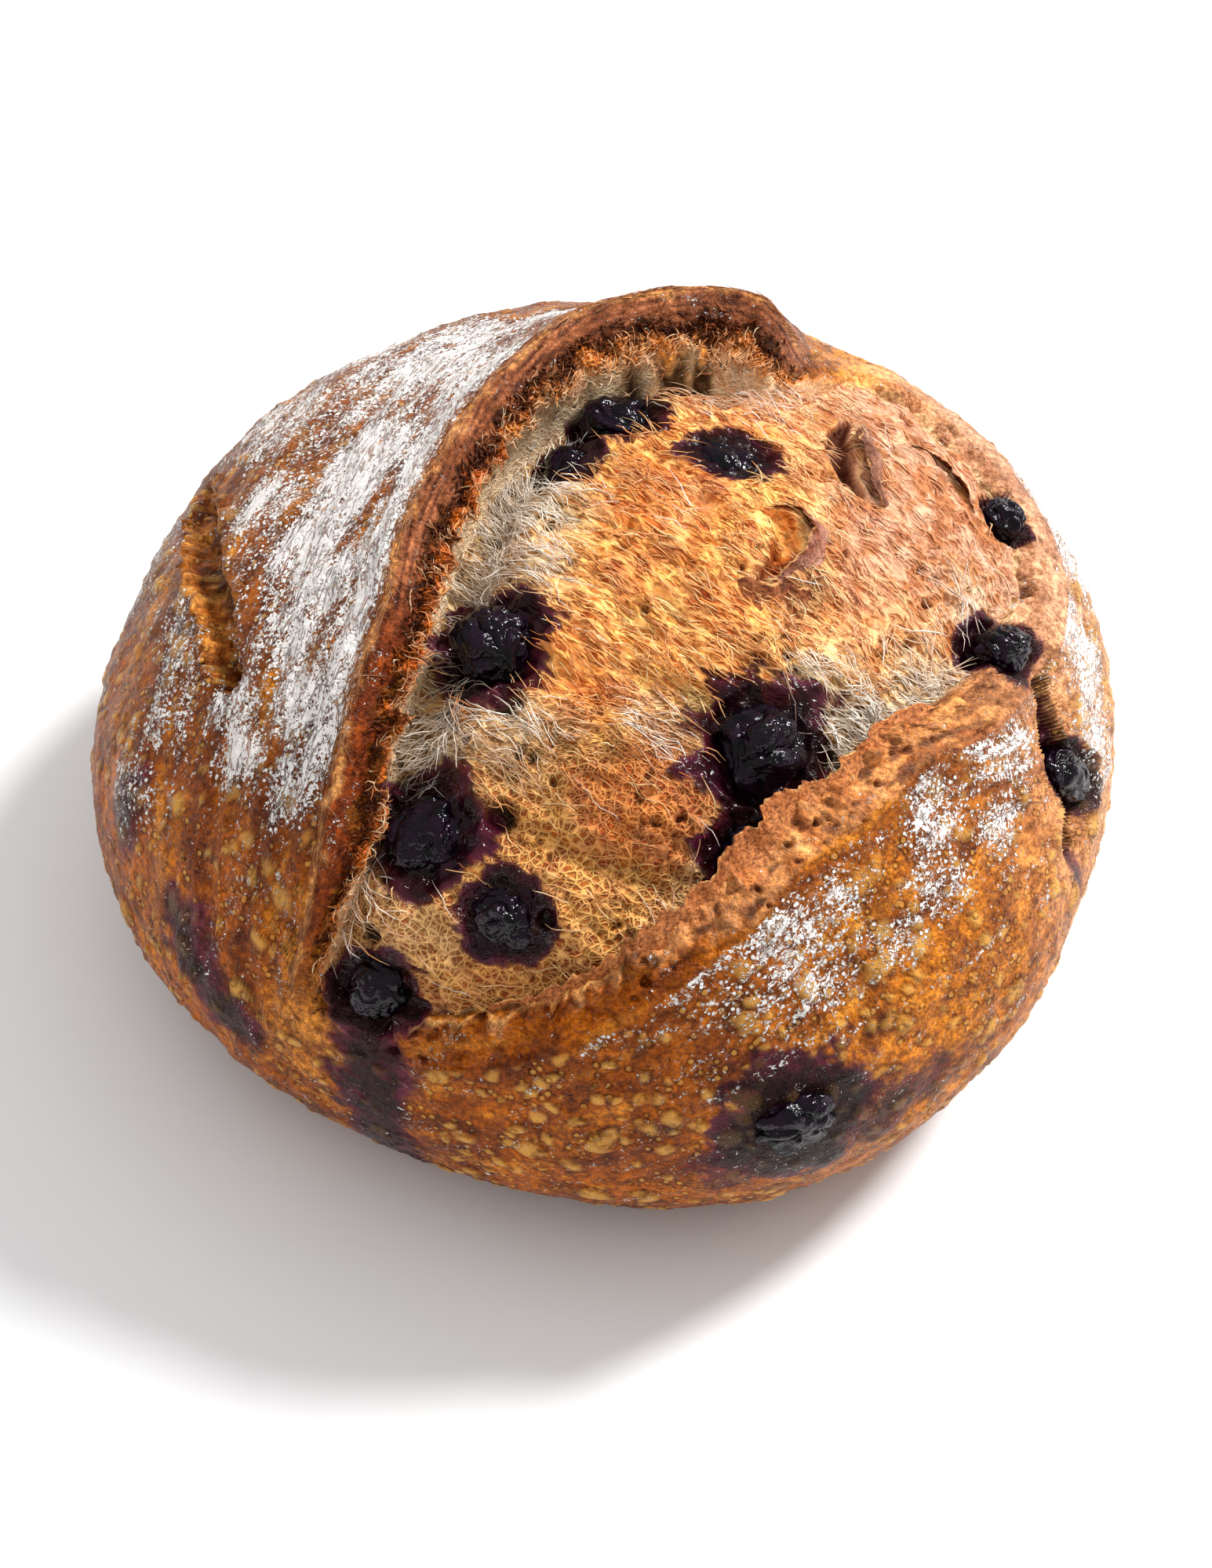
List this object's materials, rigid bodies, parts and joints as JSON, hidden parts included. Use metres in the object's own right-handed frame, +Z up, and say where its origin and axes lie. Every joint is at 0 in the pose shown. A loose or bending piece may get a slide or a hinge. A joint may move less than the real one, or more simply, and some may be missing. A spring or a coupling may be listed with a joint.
{
  "type": "sourdough loaf",
  "caption": "Round sourdough boule with one curved score, a raised ear, a floured brown crust and whole dark berries showing in the open crumb and the crust",
  "frame": {"origin": "middle of the bounding box's underside, on the flat base that the loaf stands on", "axes": "+Z up through the loaf, the front, low end of the score towards -Y, the raised ear on the -X side"},
  "size_m": [0.2022, 0.2007, 0.1163],
  "materials": {
    "crust": "baked brown crust, satin where blistered and matt under flour",
    "berry": "wet, wrinkled, nearly black berry skin"
  },
  "bodies": {
    "root": {"loaf": "crust", "berry_crevice_back": "berry", "berry_crevice_middle": "berry", "berry_top": "berry", "berry_right_rim": "berry", "berry_left": "berry", "berry_centre": "berry", "berry_right_shoulder": "berry", "berry_right_side": "berry", "berry_front_left": "berry", "berry_front": "berry", "berry_score_end": "berry", "berry_low_front": "berry", "berry_under_lip": "berry"}
  },
  "joints": []
}
